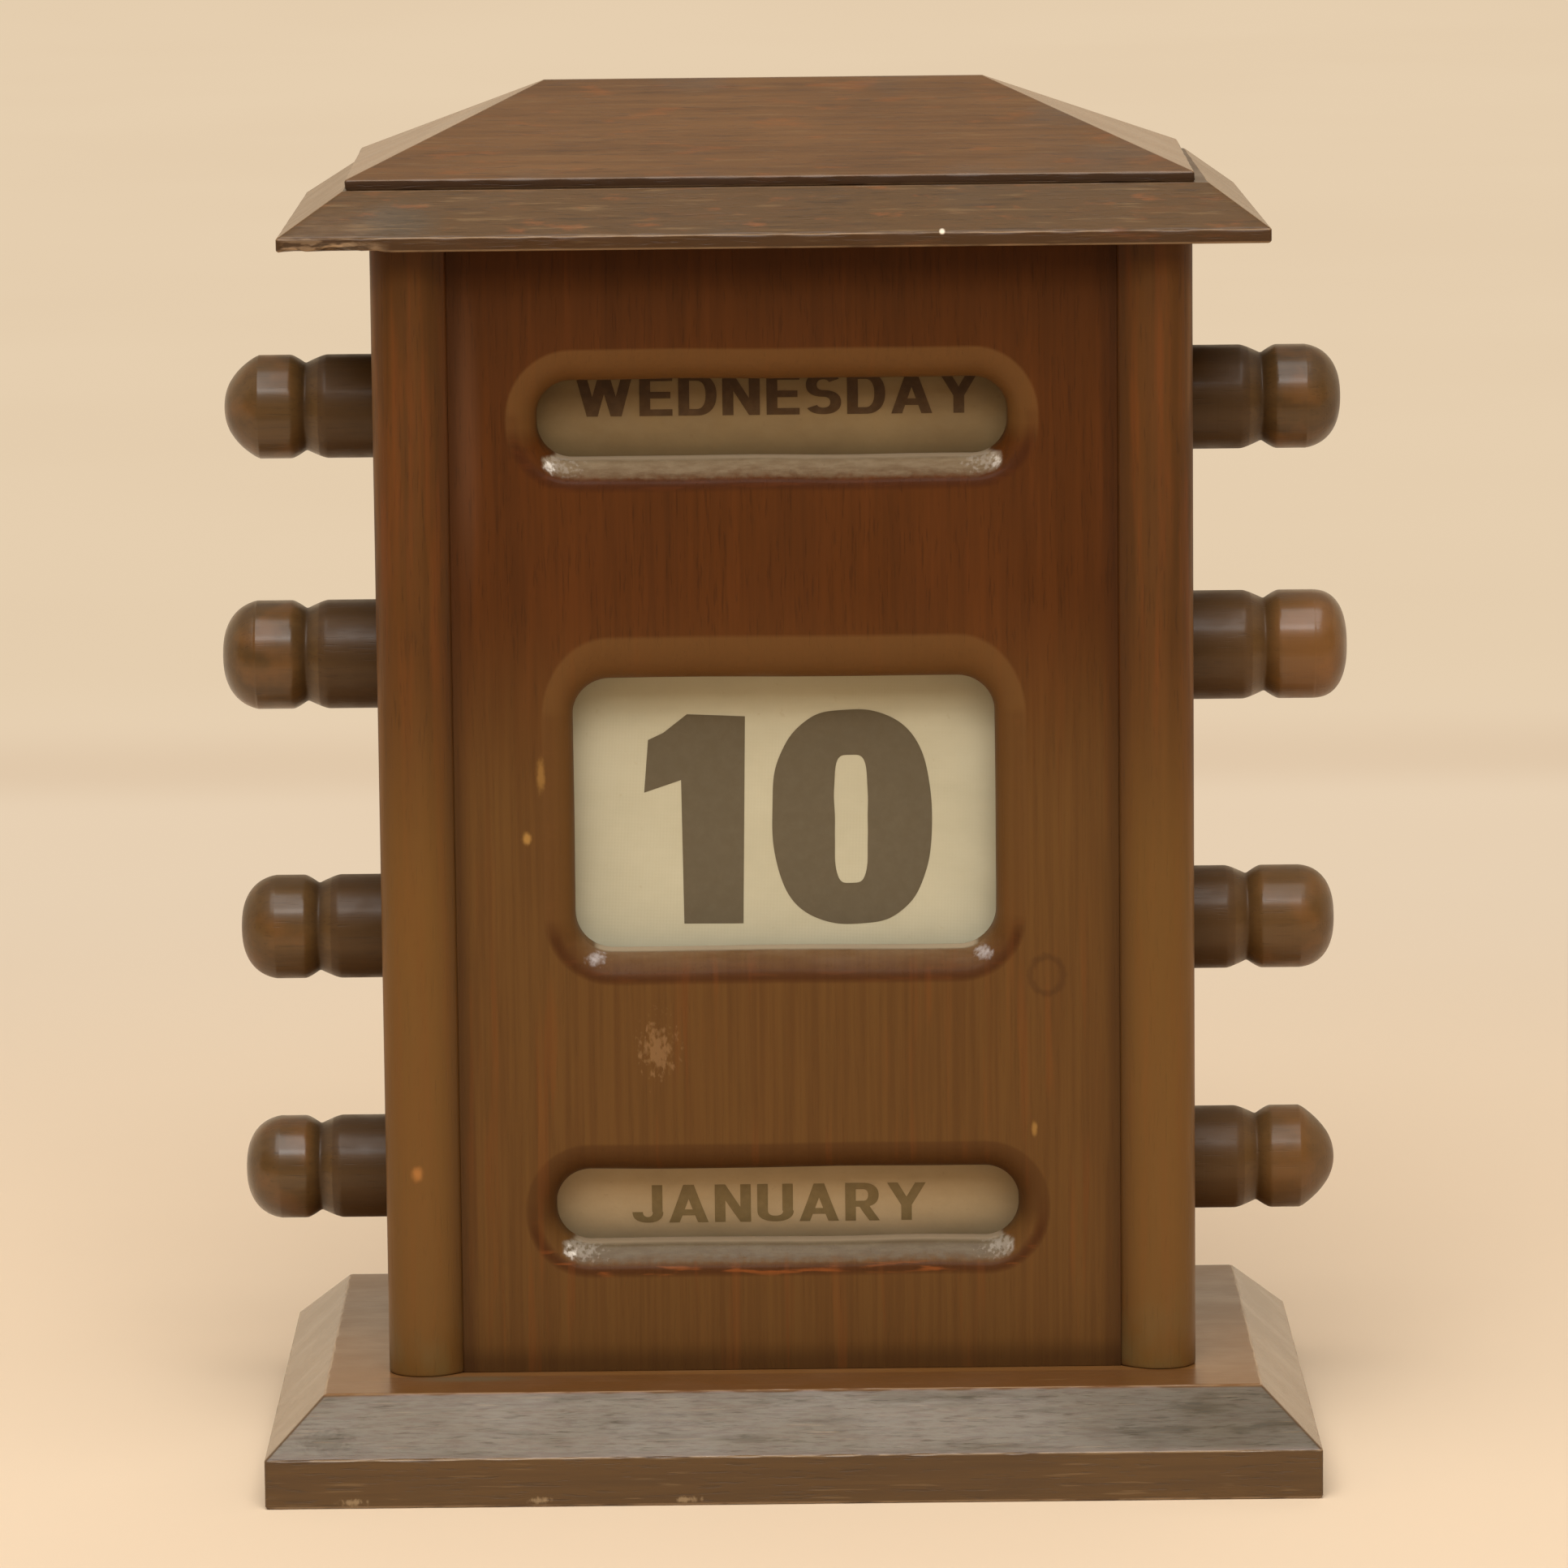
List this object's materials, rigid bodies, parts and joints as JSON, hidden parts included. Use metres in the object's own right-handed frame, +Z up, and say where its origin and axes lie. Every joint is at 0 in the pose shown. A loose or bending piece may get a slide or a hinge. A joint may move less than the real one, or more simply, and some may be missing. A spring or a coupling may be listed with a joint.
{
  "type": "perpetual desk calendar",
  "caption": "Wooden perpetual desk calendar shaped like a small house, with turned side knobs that roll the day, date and month past its windows.",
  "frame": {"origin": "middle of the plinth's underside, where it rests", "axes": "+Z up, the windows face -Y, and the rollers turn about X"},
  "size_m": [0.1378, 0.0806, 0.168],
  "materials": {
    "plinth_wood": "satin varnish",
    "case_wood": "satin varnish",
    "panel_wood": "satin varnish",
    "back_wood": "matt",
    "roof_wood": "satin varnish",
    "knob_wood": "satin varnish",
    "roller_wood": "bare",
    "day_paper": "aged, matt",
    "date_linen": "aged, matt",
    "month_paper": "aged, matt",
    "brass": "dulled",
    "steel": "dulled"
  },
  "bodies": {
    "case": {"base_plinth": "plinth_wood", "left_side_board": "case_wood", "right_side_board": "case_wood", "front_panel": "panel_wood", "back_panel": "back_wood", "roof_board": "roof_wood", "roof_cap": "roof_wood", "base_screws": "steel", "roof_pins": "steel", "back_screws": "brass", "date_web": "date_linen"},
    "day_roller": {"day_rod": "roller_wood", "day_drum": "roller_wood", "day_label": "day_paper", "left_day_knob": "knob_wood", "right_day_knob": "knob_wood"},
    "date_upper_roller": {"date_upper_rod": "roller_wood", "date_upper_core": "roller_wood", "date_upper_roll": "date_linen", "left_date_upper_knob": "knob_wood", "right_date_upper_knob": "knob_wood"},
    "date_lower_roller": {"date_lower_rod": "roller_wood", "date_lower_core": "roller_wood", "date_lower_roll": "date_linen", "left_date_lower_knob": "knob_wood", "right_date_lower_knob": "knob_wood"},
    "month_roller": {"month_rod": "roller_wood", "month_drum": "roller_wood", "month_label": "month_paper", "left_month_knob": "knob_wood", "right_month_knob": "knob_wood"}
  },
  "joints": [
    {"name": "day_drum_turn", "type": "hinge", "parent": "case", "child": "day_roller", "pos_m": [0, 0, 0.12842], "axis": [-1, 0, 0], "continuous": true},
    {"name": "date_upper_turn", "type": "hinge", "parent": "case", "child": "date_upper_roller", "pos_m": [0, 0, 0.0978], "axis": [-1, 0, 0], "range_deg": [-1575, 3314]},
    {"name": "date_lower_turn", "type": "hinge", "parent": "case", "child": "date_lower_roller", "pos_m": [0, 0, 0.06387], "axis": [-1, 0, 0], "range_deg": [-1575, 3314]},
    {"name": "month_drum_turn", "type": "hinge", "parent": "case", "child": "month_roller", "pos_m": [0, 0, 0.03365], "axis": [-1, 0, 0], "continuous": true}
  ],
  "couplings": [
    {"joint": "date_lower_turn", "follows": "date_upper_turn", "ratio": 1}
  ]
}
